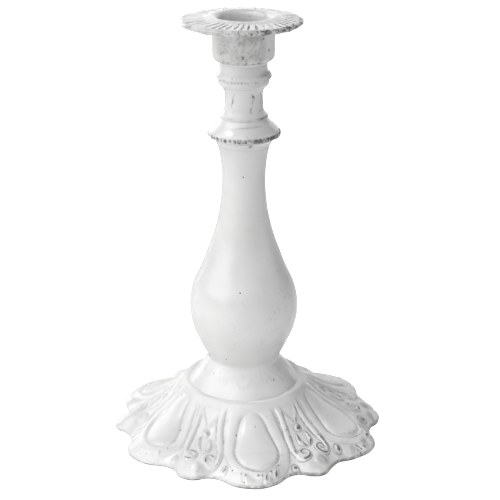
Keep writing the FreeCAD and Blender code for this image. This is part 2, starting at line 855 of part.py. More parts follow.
def check_document():
    """Stop if a feature failed or a piece has no sound solid."""
    for item in document.Objects:
        if "Invalid" in item.State or "Error" in item.State:
            raise RuntimeError("%s did not compute: %s" % (item.Name, item.State))
    for piece in PIECES:
        if piece.Shape.isNull() or not piece.Shape.isValid() or not piece.Shape.Solids:
            raise RuntimeError(piece.Label + " has no sound solid")


def write_pieces():
    """Write each piece to its own file, named by its label."""
    os.makedirs("parts", exist_ok=True)
    for piece in PIECES:
        shape = piece.Shape
        shape.exportStep(os.path.join("parts", piece.Label + ".step"))
        box = shape.BoundBox
        print("%-16s %3d solids %9.1f mm3  z %6.1f to %6.1f"
              % (piece.Label, len(shape.Solids), shape.Volume, box.ZMin, box.ZMax))


fill_sheet()
for make in MAKERS:
    make()
document.recompute()
check_document()
write_pieces()
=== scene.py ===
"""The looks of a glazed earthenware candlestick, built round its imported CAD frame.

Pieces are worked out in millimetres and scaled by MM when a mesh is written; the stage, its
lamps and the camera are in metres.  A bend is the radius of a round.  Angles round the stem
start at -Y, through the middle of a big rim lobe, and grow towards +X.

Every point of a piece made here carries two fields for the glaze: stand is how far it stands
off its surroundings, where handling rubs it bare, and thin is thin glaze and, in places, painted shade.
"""
import bpy
import math
import numpy as np
from mathutils import Matrix, Vector


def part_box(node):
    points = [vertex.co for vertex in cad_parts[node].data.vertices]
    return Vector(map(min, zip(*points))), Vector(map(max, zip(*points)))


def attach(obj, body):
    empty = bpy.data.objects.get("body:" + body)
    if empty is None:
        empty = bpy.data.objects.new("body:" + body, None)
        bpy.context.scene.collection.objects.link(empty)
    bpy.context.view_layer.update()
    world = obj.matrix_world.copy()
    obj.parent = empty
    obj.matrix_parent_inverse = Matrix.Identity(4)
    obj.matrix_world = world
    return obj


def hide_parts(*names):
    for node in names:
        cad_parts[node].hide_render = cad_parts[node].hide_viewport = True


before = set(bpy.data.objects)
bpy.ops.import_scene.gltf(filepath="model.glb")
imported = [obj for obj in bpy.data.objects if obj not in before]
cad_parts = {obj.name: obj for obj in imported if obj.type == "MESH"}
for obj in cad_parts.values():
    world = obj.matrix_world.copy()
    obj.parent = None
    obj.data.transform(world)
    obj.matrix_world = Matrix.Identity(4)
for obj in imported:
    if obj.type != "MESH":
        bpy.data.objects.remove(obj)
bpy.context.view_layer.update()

MM = 0.001
LOBES = 6
SECTOR = 2 * math.pi / LOBES


def corners(node):
    """The lowest and highest corner of a CAD node, in millimetres."""
    low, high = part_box(node)
    return [v / MM for v in low], [v / MM for v in high]


def foot_of(node):
    """The height of a node's underside, in millimetres."""
    return corners(node)[0][2]


def head_of(node):
    """The height of a node's top, in millimetres."""
    return corners(node)[1][2]


# ------------------------------------------------------------------ small maths
def smooth(low, high, value):
    """0 below low, 1 above high, with an eased rise between."""
    t = np.clip((value - low) / (high - low), 0.0, 1.0)
    return t * t * (3 - 2 * t)


def band(value, low, high, soft):
    """1 between low and high, easing to 0 over a soft edge outside them."""
    return smooth(low - soft, low, value) * (1 - smooth(high, high + soft, value))


def line_at(value, place, width):
    """1 on a line at place, falling off over width."""
    return np.exp(-((value - place) / width) ** 2)


def folded(angle, span):
    """The angle less whole spans, so that it lies within half a span of zero."""
    return (angle + span / 2) % span - span / 2


def waves(x, y, z, scale, seed):
    """Soft unevenness between about -1 and 1, from six crossed sine waves."""
    dice = np.random.default_rng(seed)
    total = 0.0
    for _ in range(6):
        way = dice.normal(size=3)
        way *= 2 * math.pi / scale / np.linalg.norm(way)
        total = total + np.sin(way[0] * x + way[1] * y + way[2] * z + dice.uniform(0, 6.3))
    return total / 3


def arc_centre(start, end, bend):
    """Centre of the short arc between two points; a positive bend has it on the left."""
    chord = np.subtract(end, start)
    span = np.hypot(*chord)
    left = np.array([-chord[1], chord[0]]) / span
    depth = math.sqrt(bend ** 2 - (span / 2) ** 2)
    return np.add(start, end) / 2 + left * math.copysign(depth, bend)


def run_outline(vertices, step):
    """Points along an outline of (reach, rise) or (reach, rise, bend) vertices.

    A bend belongs to the arc that arrives at its vertex: positive swells to the right of
    the way along, negative hollows it.
    """
    points = [np.array(vertices[0][:2], float)]
    for vertex in vertices[1:]:
        start = points[-1]
        end = np.array(vertex[:2], float)
        count = max(2, int(math.ceil(np.hypot(*(end - start)) / step)))
        share = np.arange(1, count + 1) / count
        if len(vertex) == 2:
            points.extend(start + (end - start) * t for t in share)
            continue
        centre = arc_centre(start, end, vertex[2])
        first = math.atan2(*(start - centre)[::-1])
        last = math.atan2(*(end - centre)[::-1])
        turn = folded(last - first, 2 * math.pi)
        for t in share:
            angle = first + turn * t
            points.append(centre + abs(vertex[2]) * np.array([math.cos(angle), math.sin(angle)]))
    return np.array(points)


def soften(points, passes, closed=True):
    """Round an outline's corners the way a glaze does."""
    for _ in range(passes):
        if closed:
            points = (np.roll(points, 1, 0) + 2 * points + np.roll(points, -1, 0)) / 4
        else:
            middle = (points[:-2] + 2 * points[1:-1] + points[2:]) / 4
            points = np.concatenate([points[:1], middle, points[-1:]])
    return points


def curve(points, count):
    """A smooth run through a few points, each (side, out, half width) or (reach, rise)."""
    points = np.array(points, float)
    padded = np.concatenate([2 * points[:1] - points[1:2], points, 2 * points[-1:] - points[-2:-1]])
    spots = np.linspace(0, len(points) - 1 - 1e-9, count)
    place = spots.astype(int)
    t = (spots - place)[:, None]
    a, b, c, d = (padded[place + k] for k in range(4))
    return (2 * b + (c - a) * t + (2 * a - 5 * b + 4 * c - d) * t ** 2
            + (3 * b - a - 3 * c + d) * t ** 3) / 2


# ------------------------------------------------------------------ meshes
WEAR_SPREAD = 10
WORN_SHORT_OF_ENDS = 1.6
NO_DRIFT = (0.0, 0.0, 1.0)


def convexity(grid, passes):
    """The way each point of a (row, round, xyz) grid stands off its blurred surroundings."""
    blurred = grid.copy()
    for _ in range(passes):
        across = (np.roll(blurred, 1, 1) + np.roll(blurred, -1, 1)) / 2
        along = (np.roll(blurred, 1, 0) + np.roll(blurred, -1, 0)) / 2
        blurred = (2 * blurred + across + along) / 4
    return grid - blurred


def grid_normals(grid):
    """Outward unit normals of a (row, round, xyz) grid."""
    across = np.roll(grid, -1, 1) - np.roll(grid, 1, 1)
    along = np.roll(grid, -1, 0) - np.roll(grid, 1, 0)
    normal = np.cross(across, along)
    return normal / np.maximum(np.linalg.norm(normal, axis=2, keepdims=True), 1e-9)


def standing(grid, passes):
    """How far each point stands off its surroundings, along the normal."""
    return (convexity(grid, passes) * grid_normals(grid)).sum(2)


def new_piece(name, points, faces, fields):
    """A smooth-shaded mesh object from points in millimetres, with the glaze's fields."""
    mesh = bpy.data.meshes.new(name)
    mesh.from_pydata((points * MM).tolist(), [], faces)
    for field, values in fields.items():
        layer = mesh.attributes.new(field, "FLOAT", "POINT")
        layer.data.foreach_set("value", np.ascontiguousarray(values, np.float32).ravel())
    mesh.polygons.foreach_set("use_smooth", [True] * len(mesh.polygons))
    piece = bpy.data.objects.new(name, mesh)
    bpy.context.scene.collection.objects.link(piece)
    return piece


def piece_from_grid(name, grid, stand, thin):
    """A piece from a (row, round, xyz) grid that closes on itself both ways."""
    rows, rounds = grid.shape[:2]
    index = np.arange(rows * rounds).reshape(rows, rounds)
    upper = np.roll(index, -1, 0)
    quads = np.stack([index, np.roll(index, -1, 1), np.roll(upper, -1, 1), upper], axis=-1)
    return new_piece(name, grid.reshape(-1, 3), quads.reshape(-1, 4).tolist(),
                     {"stand": stand, "thin": thin})


def place_on_round(reach, rise, angle):
    """Points from reach, height and angle round the stem."""
    return np.stack([reach * np.sin(angle), -reach * np.cos(angle), rise], axis=-1)


def lathe(name, outline, rounds, relief, worn=None, drift=NO_DRIFT):
    """A turned piece.  relief(angle, reach, rise) gives (height along the normal, thin).

    worn is the (low, high) band of heights whose edges may wear; its ends meet neighbours.
    drift is (shift towards +X, reach where it starts, reach where it is full).
    """
    turns = np.linspace(0, 2 * math.pi, rounds, endpoint=False)
    angle, reach = np.meshgrid(turns, outline[:, 0])
    rise = np.meshgrid(turns, outline[:, 1])[1]
    turned = place_on_round(reach, rise, angle)
    height, thin = relief(angle, reach, rise)
    grid = turned + grid_normals(turned) * height[..., None]
    aside, start, full = drift
    grid[..., 0] += aside * smooth(start, full, reach)
    low, high = worn or (rise.min() + WORN_SHORT_OF_ENDS, rise.max() - WORN_SHORT_OF_ENDS)
    stand = standing(grid, WEAR_SPREAD) * band(rise, low, high, 0.8)
    return piece_from_grid(name, grid, stand, thin)


def hand_turned(angle, reach, rise):
    """The slight unevenness of a surface turned by hand."""
    return 0.12 * waves(reach * np.sin(angle), reach * np.cos(angle), rise, 35.0, 5)


def plain(angle, reach, rise):
    """Relief of a surface with nothing on it."""
    return hand_turned(angle, reach, rise), 0 * reach


# ------------------------------------------------------------------ the foot's shape
SKIRT_LOW, SKIRT_HIGH = corners("base_skirt")
BIG_REACH = -SKIRT_LOW[1]
SMALL_REACH = SKIRT_HIGH[0]
BIG_BEND = 21.0
SMALL_BEND = 9.5
HOLLOW_BEND = 12.0

# The plain foot's section: hollow from its seat under the ridge, then a slow crown.
RIDGE_SEAT = (35.2, SKIRT_HIGH[2])
OGEE_TURN = (56.0, 8.3)
BLANK_EDGE = (80.0, 1.2)
OGEE_HOLLOW = 43.0
OGEE_CROWN = 120.0

# The rim as pressed by hand: (bearing in degrees, change of reach, width in degrees).
RIM_BUMPS = [(-157, -3.0, 5), (36, 1.3, 5), (96, 1.2, 4), (108, -2.0, 5), (130, 2.0, 9),
             (-145, -3.4, 24), (-108, -1.2, 18), (-62, -1.2, 16), (22, -2.0, 6), (50, -1.8, 8),
             (84, -1.2, 6), (97, 2.0, 7), (112, -5.0, 9), (142, -4.0, 18)]
RIM_TRIM = 0.35
RIM_EGG = 0.013
SIDE_DRAW = math.radians(4.5)


def ogee(reach):
    """Height of the plain foot at a distance from the stem's axis."""
    hollow = arc_centre(OGEE_TURN, RIDGE_SEAT, -OGEE_HOLLOW)
    crest = arc_centre(BLANK_EDGE, OGEE_TURN, OGEE_CROWN)
    inner = hollow[1] - np.sqrt(OGEE_HOLLOW ** 2 - np.minimum(reach - hollow[0], 0) ** 2)
    outer = crest[1] + np.sqrt(OGEE_CROWN ** 2 - (reach - crest[0]) ** 2)
    return np.where(reach < OGEE_TURN[0], inner, outer)


def along_ray(place, bend, angle, side):
    """Distance from the axis to a round's far (side 1) or near (side -1) edge.

    The round's centre is at distance place, and the ray leaves it aside by angle.
    """
    half_chord = np.sqrt(np.maximum(bend ** 2 - (place * np.sin(angle)) ** 2, 0))
    return place * np.cos(angle) + side * half_chord


def rim_reach(angle):
    """Distance of the lobed rim from the axis: big and small lobes joined by hollows."""
    fold = np.abs(folded(angle, SECTOR))
    half = SECTOR / 2
    big = BIG_REACH - BIG_BEND
    small = SMALL_REACH - SMALL_BEND
    big_at = np.array([big, 0.0])
    small_at = np.array([small * math.cos(half), small * math.sin(half)])
    length = np.hypot(*(small_at - big_at))
    way = (small_at - big_at) / length
    to_big = BIG_BEND + HOLLOW_BEND
    to_small = SMALL_BEND + HOLLOW_BEND
    along = (to_big ** 2 - to_small ** 2 + length ** 2) / (2 * length)
    aside = math.sqrt(to_big ** 2 - along ** 2)
    hollow_at = big_at + way * along + np.array([way[1], -way[0]]) * aside
    hollow_turn = math.atan2(hollow_at[1], hollow_at[0])
    on_big = along_ray(big, BIG_BEND, fold, 1)
    on_small = along_ray(small, SMALL_BEND, half - fold, 1)
    in_hollow = along_ray(np.hypot(*hollow_at), HOLLOW_BEND, fold - hollow_turn, -1)
    big_end = big_at + (hollow_at - big_at) * BIG_BEND / to_big
    small_end = small_at + (hollow_at - small_at) * SMALL_BEND / to_small
    first = math.atan2(big_end[1], big_end[0])
    last = math.atan2(small_end[1], small_end[0])
    return np.where(fold < first, on_big, np.where(fold > last, on_small, in_hollow))


def pressed_rim(angle):
    """The rim's reach, uneven from the mould and the hand."""
    uneven = 0.35 * np.sin(7 * angle + 1.0) + 0.25 * np.sin(17 * angle) + 0.15 * np.sin(41 * angle)
    rim = rim_reach(angle + SIDE_DRAW * np.sin(angle)) * (1 + RIM_EGG * np.cos(angle))
    rim = rim - RIM_TRIM + 0.6 * np.minimum(uneven, 0.5)
    bearing = folded(np.degrees(angle), 360)
    for place, change, width in RIM_BUMPS:
        rim = rim + change * line_at(bearing, place, width)
    return rim


# ------------------------------------------------------------------ the foot's relief
# How the pressed sprigs lie: turned, drawn round near the stem and out at the rim, and
# reaching less far at the sides.
RELIEF_TURN = math.radians(3.2)
DRAW_IN = math.radians(-8.0)
DRAW_OUT = math.radians(2.8)
DRAW_FROM = 32.0
DRAW_TO = 64.0
SIDE_SHRINK = 0.068

# The oval boss of a big lobe, as two (place, bend) rounds, and the frame round it.
OVAL_WIDE = (55.4, 11.0)
OVAL_NARROW = (42.0, 5.9)
BOSS_RISE = 2.2
FRAME_FROM = 1.0
FRAME_TO = 6.0
FRAME_RISE = 0.7

# The panel between two lobes; runs are (side, out, half width) points.
PANEL_SINK = 0.5
STRAP_RISE = 1.1
STRAP_RUN = [(5.6, 33.0, 1.5), (5.9, 38.0, 1.5), (6.8, 44.0, 1.6), (8.3, 49.5, 1.75),
             (9.7, 54.6, 1.6), (10.0, 58.0, 1.35)]
SCROLL_AT = (6.0, 61.0)
SCROLL_BEND = 3.8
SCROLL_TURNS = 1.45
CREST_RISE = 0.7
CREST_RUN = [(5.2, 33.0, 0.3), (3.6, 38.5, 0.9), (1.5, 42.0, 0.8), (0.7, 43.6, 0.3)]
BEAD_AT = 46.3
BEAD_BEND = 1.9
BEAD_RISE = 1.7
LEAF_RISE = 1.0
LEAF_RUN = [(2.6, 49.0, 0.3), (3.2, 51.6, 1.1), (2.9, 54.6, 1.3), (1.0, 57.4, 0.4)]
RIM_PEARL_AT = (14.9, 64.6)
RIM_PEARL_BEND = 1.7
RIM_PEARL_RISE = 1.3
KNOB_AT = 68.6
KNOB_BEND = 4.0
KNOB_RISE = 1.4

# The fluted shell at the rim of a big lobe, fanned out from a hub.
SHELL_HUB = 40.0
SHELL_HALF = 0.36
SHELL_FLUTES = 7
FLUTE_RISE = 1.35
FLUTE_SINK = 0.6
HOOD_AT = 2.4
HOOD_RISE = 0.5


def egg(side, out, wide, narrow):
    """Distance to an egg round two rounds (place, bend); negative inside."""
    wide_at, wide_bend = wide
    narrow_at, narrow_bend = narrow
    side = np.abs(side)
    up = wide_at - out
    length = wide_at - narrow_at
    slope = (wide_bend - narrow_bend) / length
    level = math.sqrt(1 - slope * slope)
    foot = level * up - slope * side
    to_wide = np.hypot(side, up) - wide_bend
    to_narrow = np.hypot(side, up - length) - narrow_bend
    to_flank = side * level + up * slope - wide_bend
    return np.where(foot < 0, to_wide, np.where(foot > level * length, to_narrow, to_flank))


def nearest(side, out, path):
    """Distance to a path of (side, out, half width) points, and the half width there."""
    best = np.full(side.shape, 1e9)
    width = np.ones(side.shape)
    for (x0, y0, w0), (x1, y1, w1) in zip(path[:-1], path[1:]):
        run = (x1 - x0) ** 2 + (y1 - y0) ** 2
        t = np.clip(((side - x0) * (x1 - x0) + (out - y0) * (y1 - y0)) / run, 0, 1)
        gap = np.hypot(side - x0 - t * (x1 - x0), out - y0 - t * (y1 - y0))
        closer = gap < best
        best = np.where(closer, gap, best)
        width = np.where(closer, w0 + t * (w1 - w0), width)
    return best, width


def scroll_path():
    """The strap's middle line: down beside the panel and round into the scroll's eye."""
    turns = np.linspace(0.0, SCROLL_TURNS, 44)
    share = turns / SCROLL_TURNS
    bend = SCROLL_BEND * (1 - 0.82 * share)
    angle = 2 * math.pi * turns
    coil = np.stack([SCROLL_AT[0] + bend * np.cos(angle), SCROLL_AT[1] + bend * np.sin(angle),
                     1.35 - 0.45 * share], axis=-1)
    return np.concatenate([curve(STRAP_RUN, 24), coil])


def crown(gap, half):
    """Rounded section of a band: 1 on its middle line, 0 at its edges."""
    return np.clip(1 - (gap / half) ** 2, 0, 1) ** 0.7


def boss_relief(oval):
    """The oval boss and its frame, from the distance to the boss's edge."""
    inside = np.clip(-oval / OVAL_WIDE[1], 0, 1)
    lane = (oval - FRAME_FROM) / (FRAME_TO - FRAME_FROM)
    height = BOSS_RISE * np.sqrt(1 - (1 - inside) ** 2) + FRAME_RISE * crown(lane - 0.5, 0.56)
    height = height - 0.55 * line_at(oval, 0.5, 0.7)
    thin = 0.6 * line_at(oval, 0.45, 0.5) + 0.45 * line_at(oval, FRAME_TO + 0.3, 0.5)
    return height, thin


def strap_relief(oval, reach, across, down):
    """The panel's sunk ground, with the scrolled straps and their crest on it."""
    ground = smooth(FRAME_TO - 0.4, FRAME_TO + 0.8, oval) * (1 - smooth(57.0, 66.0, reach))
    apart = smooth(FRAME_TO - 1.0, FRAME_TO + 0.2, oval)
    gap, half = nearest(across, down, scroll_path())
    edge = line_at(gap / half, 1.15, 0.25) * apart
    height = STRAP_RISE * crown(gap, half) * apart - 0.3 * edge - PANEL_SINK * ground
    gap, half = nearest(across, down, curve(CREST_RUN, 10))
    return height + CREST_RISE * crown(gap, half), 0.8 * edge


def husk_relief(across, down):
    """The panel's bead over a pair of leaves, each with a thin ring of glaze round it."""
    bead = np.hypot(across, down - BEAD_AT)
    gap, half = nearest(across, down, curve(LEAF_RUN, 20))
    ring = np.maximum(line_at(bead, BEAD_BEND + 0.25, 0.4), line_at(gap - half, 0.2, 0.35))
    height = BEAD_RISE * crown(bead, BEAD_BEND) + LEAF_RISE * crown(gap, half) - 0.35 * ring
    return height, 0.65 * ring


def shell_relief(oval, fan, inset, lobe, x, y):
    """The lumpy flutes at a big lobe's rim, different on each lobe."""
    fluted = band(np.abs(fan), -1.0, SHELL_HALF, 0.08) * smooth(2.0, 3.5, oval)
    fluted = fluted * (1 - smooth(5.0, 7.0, inset))
    own = 9 * lobe
    sway = 0.9 * np.sin(3.1 * fan / SHELL_HALF + own) + 0.45 * np.sin(0.9 * inset + own)
    notch = np.abs(np.cos((fan / SHELL_HALF * SHELL_FLUTES + sway) / 2 * math.pi))
    uneven = 0.65 + 0.5 * np.sin(5 * fan / SHELL_HALF + 2 * own)
    height = fluted * uneven * (FLUTE_RISE * np.sqrt(notch) - FLUTE_SINK)
    height = height + 0.5 * fluted * waves(x, y, 0.0, 5.0, 31)
    patchy = smooth(-0.5, 0.7, waves(x, y, 0.0, 4.0, 33))
    return height, 0.40 * fluted * (1 - smooth(0.0, 0.5, notch)) * patchy


def rim_wear(inset, knob, handled, x, y):
    """How thin handling and the kiln left the glaze near the rim, heavier towards +X as wear and painted
    shade.
    """
    patchy = smooth(-0.3, 0.5, waves(x, y, 0.0, 9.0, 41))
    film = 0.62 * handled ** 3 * (1 - smooth(5.5, 8.0, inset)) * patchy
    rubbed = (1 - smooth(0.2, 1.3, inset)) * (0.25 + 0.5 * handled)
    on_knob = 0.95 * handled ** 3 * (1 - smooth(0.5, 1.1, knob / KNOB_BEND))
    return np.maximum(film, np.maximum(rubbed, on_knob))


def foot_relief(angle, reach, inset):
    """Height of the sprigs above the plain foot, and how thin the glaze lies, greyer towards +X as wear
    and painted shade.
    """
    draw = DRAW_IN + (DRAW_OUT - DRAW_IN) * smooth(DRAW_FROM, DRAW_TO, reach)
    reach = reach * (1 + SIDE_SHRINK * np.sin(angle) ** 2)
    angle = angle + draw * np.sin(angle) - RELIEF_TURN
    x = reach * np.sin(angle)
    y = reach * np.cos(angle)
    reach = reach + 0.5 * waves(x, y, 0.0, 60.0, 3)
    in_lobe = folded(angle, SECTOR)
    in_panel = folded(angle - SECTOR / 2, SECTOR)
    side = reach * np.sin(in_lobe)
    out = reach * np.cos(in_lobe)
    across = np.abs(reach * np.sin(in_panel))
    down = reach * np.cos(in_panel)

    oval = egg(side, out, OVAL_WIDE, OVAL_NARROW)
    fan = np.arctan2(side, out - SHELL_HUB)
    pearl = np.hypot(across - RIM_PEARL_AT[0], 0.75 * (down - RIM_PEARL_AT[1]))
    knob = np.hypot(across, 1.1 * (down - KNOB_AT))
    hood = line_at(oval, HOOD_AT + 0.5 * np.sin(14 * fan), 0.5)
    height = RIM_PEARL_RISE * crown(pearl, RIM_PEARL_BEND) + KNOB_RISE * crown(knob, KNOB_BEND)
    height = height + HOOD_RISE * hood * band(np.abs(fan), -1.0, SHELL_HALF, 0.08)
    thin = 0.8 * line_at(pearl, RIM_PEARL_BEND + 0.3, 0.4)
    for raised, thinned in (boss_relief(oval), strap_relief(oval, reach, across, down),
                            husk_relief(across, down),
                            shell_relief(oval, fan, inset, np.round(angle / SECTOR), x, y)):
        height = height + raised
        thin = np.maximum(thin, thinned)

    # handled grows towards +X, away from the key lamp: partly real wear, partly painted shade.
    handled = np.clip(0.5 + 0.5 * np.sin(angle + 0.1), 0, 1)
    thin = np.maximum(thin * (0.55 + 0.45 * handled), rim_wear(inset, knob, handled, x, y))
    flush = smooth(33.0, 39.0, reach) * (0.66 + 0.34 * np.cos(angle))
    return height * flush * (0.85 + 0.15 * handled), thin * flush


# ------------------------------------------------------------------ pieces of the foot
FOOT_INNER = 32.3
FOOT_ROUNDS = 960
FOOT_ROWS = 86
FOOT_DRIFT = (2.1, -0.7)
FOOT_SPREAD = 5
LIP_ROUND = 1.1
LIP_TOP = 1.7
LIP_SLOPE = 0.62
LIP_SHARES = [0.8, 0.6, 0.42, 0.27, 0.14, 0.05, 0.0]

# Below the lip: (in from the rim, height), then the underside as (reach, height).
EDGE_RUN = [(-0.02, 0.9), (-0.02, 0.4), (0.3, 0.08), (1.0, 0.0)]
UNDER_RUN = [(62.0, 0.0), (55.0, 4.2), (42.0, 9.6), (30.5, 17.0)]


def soft_least(one, other, blend):
    """The lower of two heights, with the crossing rounded."""
    share = np.clip(0.5 + 0.5 * (other - one) / blend, 0, 1)
    return other + (one - other) * share - blend * share * (1 - share)


def lip_insets(rim):
    """Distances in from the rim, row by row from the ridge out to the lip."""
    shares = np.linspace(0, 1, FOOT_ROWS)[:-1]
    insets = [(rim - FOOT_INNER - LIP_ROUND) * (1 - share) + LIP_ROUND for share in shares]
    insets += [np.full(FOOT_ROUNDS, LIP_ROUND * share) for share in LIP_SHARES]
    return np.stack(insets)


def foot_upper(rim, angle):
    """The foot's upper face as rows of points, and how thin the glaze lies on it, with painted shade
    towards +X.
    """
    inset = lip_insets(rim)
    turn = angle + 0 * inset
    reach = rim - inset
    top = soft_least(ogee(reach), LIP_TOP + LIP_SLOPE * inset, 1.2)
    top = np.where(reach < OGEE_TURN[0] - 6, ogee(reach), top)
    slope = np.gradient(top, axis=0) / np.gradient(reach, axis=0)
    tilt = np.sqrt(1 + slope ** 2)
    height, thin = foot_relief(turn, reach, inset)
    for _ in range(2):
        height = (2 * height + np.roll(height, 1, 1) + np.roll(height, -1, 1)) / 4
        height[1:-1] = (height[:-2] + 2 * height[1:-1] + height[2:]) / 4
    height = height * smooth(-0.5, 2.5, inset)
    near = np.clip(LIP_ROUND - inset, 0, LIP_ROUND)
    drop = LIP_ROUND - np.sqrt(LIP_ROUND ** 2 - near ** 2)
    lumps = 0.12 * waves(reach * np.sin(turn), reach * np.cos(turn), 0.0, 16.0, 7)
    rise = top + (height + lumps) / tilt - drop
    return place_on_round(reach - slope / tilt * height * smooth(0, 3, inset), rise, turn), thin


def make_foot():
    """The moulded foot with its sprigs, as one glazed skin."""
    angle = np.linspace(0, 2 * math.pi, FOOT_ROUNDS, endpoint=False)
    rim = pressed_rim(angle)
    upper, thin = foot_upper(rim, angle)
    lower = [(rim - inward, rise) for inward, rise in EDGE_RUN]
    lower += [(np.full(FOOT_ROUNDS, reach), rise) for reach, rise in UNDER_RUN]
    lower = np.stack([place_on_round(reach, np.full(FOOT_ROUNDS, rise), angle) for reach, rise in lower])
    grid = np.concatenate([upper, lower])[::-1]
    share = smooth(36.0, 66.0, np.hypot(grid[..., 0], grid[..., 1]))
    grid[..., 0] += FOOT_DRIFT[0] * share
    grid[..., 1] += FOOT_DRIFT[1] * share
    thin = np.concatenate([thin, np.zeros(lower.shape[:2])])[::-1]
    stand = standing(grid, FOOT_SPREAD)
    # Neither the underside nor the seat under the ridge is handled.
    stand[:len(UNDER_RUN) + 2] = 0
    stand[-4:] = 0
    return piece_from_grid("moulded_foot", grid, stand, thin)


RIDGE_RUN = [(34.9, -0.6), (34.2, 0.8), (33.3, 2.2), (32.3, 3.55), (31.4, 3.95), (30.5, 4.0),
             (29.6, 3.8), (28.9, 3.6), (28.2, 3.5)]


def make_ridge():
    """The narrow bead between foot and dome."""
    foot = foot_of("ridge_moulding")
    outside = curve([(reach, foot + up) for reach, up in RIDGE_RUN], 44)
    inside = run_outline([(28.2, foot + 3.2), (26.0, foot + 3.0), (26.0, foot),
                          (34.9, foot - 0.6)], 0.4)[1:-1]
    unworn = (foot + 9.0, foot + 10.0)
    return lathe("ridge", np.concatenate([outside, inside]), 360, plain, unworn)


# Half of one leaf, as (side, down the dome's wall, half width) runs.
DOME_CURLS = [
    [(0.8, 10.4, 0.5), (2.6, 8.6, 0.9), (4.4, 6.0, 0.9), (7.2, 4.6, 0.9), (9.4, 6.2, 0.8),
     (8.6, 8.4, 0.6)],
    [(11.2, 3.0, 0.4), (10.8, 5.4, 0.9), (11.4, 8.4, 0.4)],
    [(0.0, 3.4, 0.5), (0.0, 5.4, 0.9)],
]
DOME_LEAF_TURN = 0.42


def dome_relief(angle, reach, rise):
    """Faint scrolls and leaves round the dome, drowned in glaze."""
    wall = (head_of("base_dome") - rise) * 1.2
    arm = np.abs(folded(angle - DOME_LEAF_TURN - SECTOR / 2, SECTOR) * 24.0)
    height = 0 * reach
    thin = 0 * reach
    for run in DOME_CURLS:
        gap, half = nearest(arm, wall, curve(run, 20))
        height = height + 0.2 * crown(gap, 1.4 * half)
        thin = np.maximum(thin, 0.1 * line_at(gap - half * 1.3, 0.1, 0.35))
    outside = smooth(0.0, 1.0, (reach - 17.0) * 1.1 + (rise - 39.0) * 0.9)
    shown = band(wall, 2.2, 13.0, 1.5) * outside
    return height * shown + hand_turned(angle, reach, rise) * outside, thin * shown


def make_dome():
    """The low dome, swept up into the stem."""
    foot = foot_of("base_dome")
    seat = head_of("base_dome")
    outside = curve([(29.9, foot - 0.6), (28.9, foot + 0.4), (27.8, foot + 1.7), (25.7, foot + 4.4),
                     (22.7, foot + 7.7), (20.5, foot + 10.9), (19.3, seat - 0.4),
                     (19.05, seat + 0.9), (19.55, seat + 2.4)], 70)
    inside = run_outline([(19.55, seat + 2.4), (18.2, seat + 1.9), (14.2, seat + 0.3),
                          (21.6, foot + 3.1), (25.6, foot), (29.9, foot - 0.6)], 0.5)[1:-1]
    return lathe("dome", np.concatenate([outside, inside]), 720, dome_relief)


# ------------------------------------------------------------------ pieces of the stem
def make_stem():
    """The hollow baluster."""
    foot = foot_of("baluster_stem") - 0.3
    head = head_of("baluster_stem")
    outline = [(14.2, foot - 0.1), (18.4, foot - 0.2), (18.75, foot + 0.5),
               (20.4, foot + 4.0), (24.1, foot + 11.8, 60.0), (24.9, foot + 45.2, 37.0),
               (19.2, foot + 59.2, -90.0), (11.1, foot + 99.2, -105.0), (13.5, head + 0.6, -75.6),
               (8.0, head + 0.4), (8.0, foot + 87.2), (19.8, foot + 46.2),
               (19.3, foot + 12.2, -34.0), (14.2, foot - 0.1)]
    return lathe("baluster", soften(run_outline(outline, 0.9)[:-1], 2), 256, plain)


def collar_relief(angle, reach, rise):
    """A throwing line on the collar's slope, a worn ring behind the pearls and a chip."""
    foot = foot_of("stem_collar")
    turn = folded(angle, 2 * math.pi)
    slope = smooth(12.6, 13.2, reach) * smooth(foot + 7.5, foot + 8.5, rise)
    line = line_at(rise, foot + 11.6 + 0.4 * np.sin(angle), 0.35) * slope
    line = line * (0.5 + 0.5 * np.sin(3 * angle + 1.0))
    ring = band(rise, foot + 3.6, foot + 6.6, 0.5) * smooth(15.6, 16.4, reach)
    ring = ring * np.clip(0.55 + 0.6 * np.sin(turn - 0.2), 0.15, 1)
    chip = np.clip(1.3 - np.hypot((turn - 0.19) * reach, rise - foot - 2.5) / 1.1, 0, 1)
    height = hand_turned(angle, reach, rise) - 0.3 * line
    return height, np.maximum(np.maximum(0.6 * line, ring), chip)


def make_collar():
    """The bell-shaped collar."""
    foot = foot_of("stem_collar")
    head = head_of("stem_collar")
    outline = [(8.0, foot), (13.2, foot - 0.5), (13.9, foot + 0.4), (14.2, foot + 1.4),
               (17.3, foot + 4.2, -5.2), (18.0, foot + 5.2), (18.1, foot + 7.0), (17.5, foot + 8.2),
               (15.4, foot + 10.2, -14.0), (11.6, head + 0.5, -14.0), (8.0, head), (8.0, foot)]
    return lathe("collar", soften(run_outline(outline, 0.3)[:-1], 3), 360, collar_relief)


COLLAR_PEARLS = 44
PEARL_ROWS = 12
PEARL_ROUNDS = 16
PEARL_PROUD = 0.35
PEARL_STAND = 0.12
PEARL_THIN = 0.35


def ball_faces(first):
    """Faces of one ball whose points start at first: a pole, the rings, a pole."""
    rings = PEARL_ROWS - 2
    last = first + 1 + rings * PEARL_ROUNDS
    faces = []
    for k in range(PEARL_ROUNDS):
        after = (k + 1) % PEARL_ROUNDS
        top = last - PEARL_ROUNDS
        faces.append((first, first + 1 + after, first + 1 + k))
        faces.append((last, top + k, top + after))
        for ring in range(rings - 1):
            here = first + 1 + ring * PEARL_ROUNDS
            above = here + PEARL_ROUNDS
            faces.append((here + k, here + after, above + after, above + k))
    return faces


